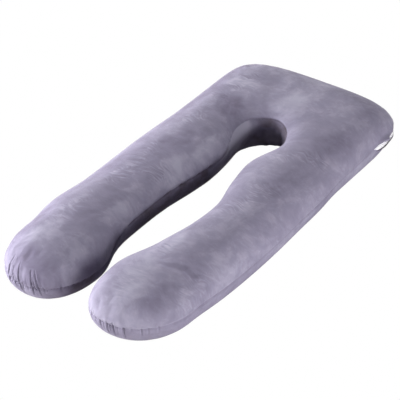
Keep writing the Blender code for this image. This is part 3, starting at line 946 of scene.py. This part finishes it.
def woven_material(name, colour, per_metre, painted_glow):
    """Narrow woven tape: fine diagonal ribs, slightly uneven in colour, with painted light as a glow."""
    made, tree, shader = new_material(name)
    place = add_node(tree, "TexCoord").outputs["Object"]
    ribs = add_node(tree, "TexWave", wave_type="BANDS", bands_direction="DIAGONAL")
    ribs.inputs["Scale"].default_value = per_metre
    ribs.inputs["Distortion"].default_value = RIB_UNEVEN
    ribs.inputs["Detail"].default_value = 1.0
    tree.links.new(place, ribs.inputs["Vector"])
    worn = noise_of(tree, place, WORN_PER_METRE)
    weave = value_of(tree, "MULTIPLY_ADD", ribs.outputs["Fac"], RIB_SHARE, worn)
    shades = (tuple(WORN_COLOUR * c for c in colour), colour)
    tree.links.new(ramp_of(tree, weave, shades), shader.inputs["Base Color"])
    tree.links.new(spread(tree, worn, -1.0, 2.0, eased=False), shader.inputs["Roughness"])
    tree.links.new(bump_of(tree, ribs.outputs["Fac"], RIB_HEIGHT), shader.inputs["Normal"])
    shader.inputs["Specular IOR Level"].default_value = WOVEN_SPECULAR
    shader.inputs["Emission Color"].default_value = (*colour, 1)
    shader.inputs["Emission Strength"].default_value = painted_glow
    return made


def smooth(share):
    """A soft rise from 0 to 1."""
    share = np.clip(share, 0, 1)
    return share * share * (3 - 2 * share)


def far_from(places, row):
    """How far the places are from a row's middle, in its own half sizes."""
    turn = math.radians(row.turn)
    dx, dy = places[:, 0] - row.x, places[:, 1] - row.y
    along = (dx * math.cos(turn) + dy * math.sin(turn)) / row.length
    across = (dy * math.cos(turn) - dx * math.sin(turn)) / row.width
    return along**2 + across**2


def mark_pile_and_painted_light(obj, seam):
    """Records on each point how the pile lies there with the painted shade and light, and how far a hand
    has swept it.
    """
    points = coordinates(obj.data)
    side = beside_seam(seam, points)
    below = smooth(0.5 - side.rise / UNDER_EDGE)
    noise.seed_set(MARK_SEED)
    ragged = np.array([noise.noise_vector(p / MARK_RAGGED_SIZE) for p in map(Vector, points)])
    places = points + MARK_RAGGED * ragged
    in_crease = bell(side.distance, CREASE_WIDTH) * shown_crease(seam, side.along)
    # painted shade below the seam, on the bottom panel, and in the seam's crease
    brushed_and_painted_light = UNDER_PAINTED_SHADE * below + CREASE_PAINTED_SHADE * in_crease
    # the marks: painted shade and light on the walls and at some places on the top, darker and lighter
    # patches elsewhere
    for mark in MARKS:
        far = far_from(places, mark)
        if mark.z is not None:
            far = far + ((places[:, 2] - mark.z) / mark.high) ** 2
        where = smooth((1 + mark.soft / 2 - np.sqrt(far)) / mark.soft)
        brushed_and_painted_light += mark.shade * where * (below if mark.z is not None else 1 - below)
    swept = np.zeros(len(points))
    for row in SWEPT:
        swept = np.maximum(swept, row.share * smooth(SWEPT_REACH - np.sqrt(far_from(places, row))))
    for name, values in (("brushed_and_painted_light", brushed_and_painted_light), ("swept", swept * (1 - below))):
        made = obj.data.attributes.new(name, "FLOAT", "POINT")
        made.data.foreach_set("value", values.astype(np.float32))


# ---------------------------------------------------------------- stage
def aimed(obj, target):
    obj.rotation_mode = "QUATERNION"
    obj.rotation_quaternion = (Vector(target) - obj.location).to_track_quat("-Z", "Y")


def around(azimuth, elevation, distance, target):
    """The place at this heading and height from the target; azimuth 0 looks along +Y."""
    a, e = math.radians(azimuth), math.radians(elevation)
    back = Vector((math.sin(a) * math.cos(e), -math.cos(a) * math.cos(e), math.sin(e)))
    return Vector(target) + back * distance


def add_camera():
    data = bpy.data.cameras.new("camera")
    data.sensor_width = SENSOR_MM
    data.lens = CAMERA_LENS_MM
    data.clip_end = CAMERA_FAR
    obj = link(bpy.data.objects.new("camera", data))
    obj.location = around(CAMERA_AZIMUTH, CAMERA_ELEVATION, CAMERA_DISTANCE, CAMERA_TARGET)
    aimed(obj, CAMERA_TARGET)
    scene.camera = obj


def add_lights():
    for box in SOFTBOXES:
        data = bpy.data.lights.new(box.name, "AREA")
        data.size = LIGHT_SIZE
        data.energy = box.watts
        obj = link(bpy.data.objects.new(box.name, data))
        obj.location = around(box.azimuth, box.elevation, LIGHT_DISTANCE, (0, 0, 0))
        aimed(obj, (0, 0, 0))


def add_world():
    world = bpy.data.worlds.new("studio")
    world.use_nodes = True
    tree = world.node_tree
    background = tree.nodes["Background"]
    background.inputs["Color"].default_value = (1, 1, 1, 1)
    path = tree.nodes.new("ShaderNodeLightPath")
    mix = tree.nodes.new("ShaderNodeMapRange")
    mix.inputs["To Min"].default_value = WORLD_LIGHT
    mix.inputs["To Max"].default_value = WORLD_SEEN
    tree.links.new(path.outputs["Is Camera Ray"], mix.inputs["Value"])
    tree.links.new(mix.outputs["Result"], background.inputs["Strength"])
    scene.world = world


def add_floor():
    deselect_all()
    bpy.ops.mesh.primitive_plane_add(size=FLOOR_SIZE, location=(0, 0, -FLOOR_DROP))
    floor = bpy.context.active_object
    floor.name = "studio_floor"
    made, tree, shader = new_material("white_floor")
    shader.inputs["Base Color"].default_value = (*FLOOR_BOUNCE, 1)
    shader.inputs["Roughness"].default_value = 1.0
    shader.inputs["Specular IOR Level"].default_value = 0.0
    path = tree.nodes.new("ShaderNodeLightPath")
    white = tree.nodes.new("ShaderNodeEmission")
    mix = tree.nodes.new("ShaderNodeMixShader")
    tree.links.new(path.outputs["Is Camera Ray"], mix.inputs["Fac"])
    tree.links.new(shader.outputs["BSDF"], mix.inputs[1])
    tree.links.new(white.outputs["Emission"], mix.inputs[2])
    tree.links.new(mix.outputs["Shader"], tree.nodes["Material Output"].inputs["Surface"])
    floor.data.materials.append(made)


# ---------------------------------------------------------------- the object
pillow, seam = rounded_copy("pillow", "velvet_cover")
inflate(pillow, seam)
sew(pillow, seam)
mark_pile_and_painted_light(pillow, seam)
pile = brushed_pile_group()
finished(pillow, "velvet_cover", "pillow", velvet_material("lilac_velvet", pile))

lip, tape_edge, guard, outward = zip_lines(seam)
# the tape and the coil glow with painted light
white_tape = woven_material("white_woven_tape", TAPE_WHITE, TAPE_RIBS, TAPE_PAINTED_GLOW)
finished(new_tape(lip, tape_edge), "woven_tape", "zip_tape", white_tape)
finished(new_coil(tape_edge), "zip_coil", None, white_tape)
# the guard's velvet is darkened by painted shade
bound = velvet_material("guard_velvet_painted_shade", pile, brushed_and_painted_light=False, shade=GUARD_PAINTED_SHADE)
finished(new_guard(guard, outward), "bound_guard", "zip_guard", bound)
thread = woven_material("white_thread", THREAD_WHITE, THREAD_RIBS, 0.0)
stitch_line = lip + (tape_edge - lip) * STITCH_PLACE
stitch_line[:, 2] += TAPE_CLOTH / 2
finished(new_stitches(stitch_line), "tape_stitches", None, thread)

add_camera()
add_lights()
add_world()
add_floor()
scene.view_settings.view_transform = "Standard"
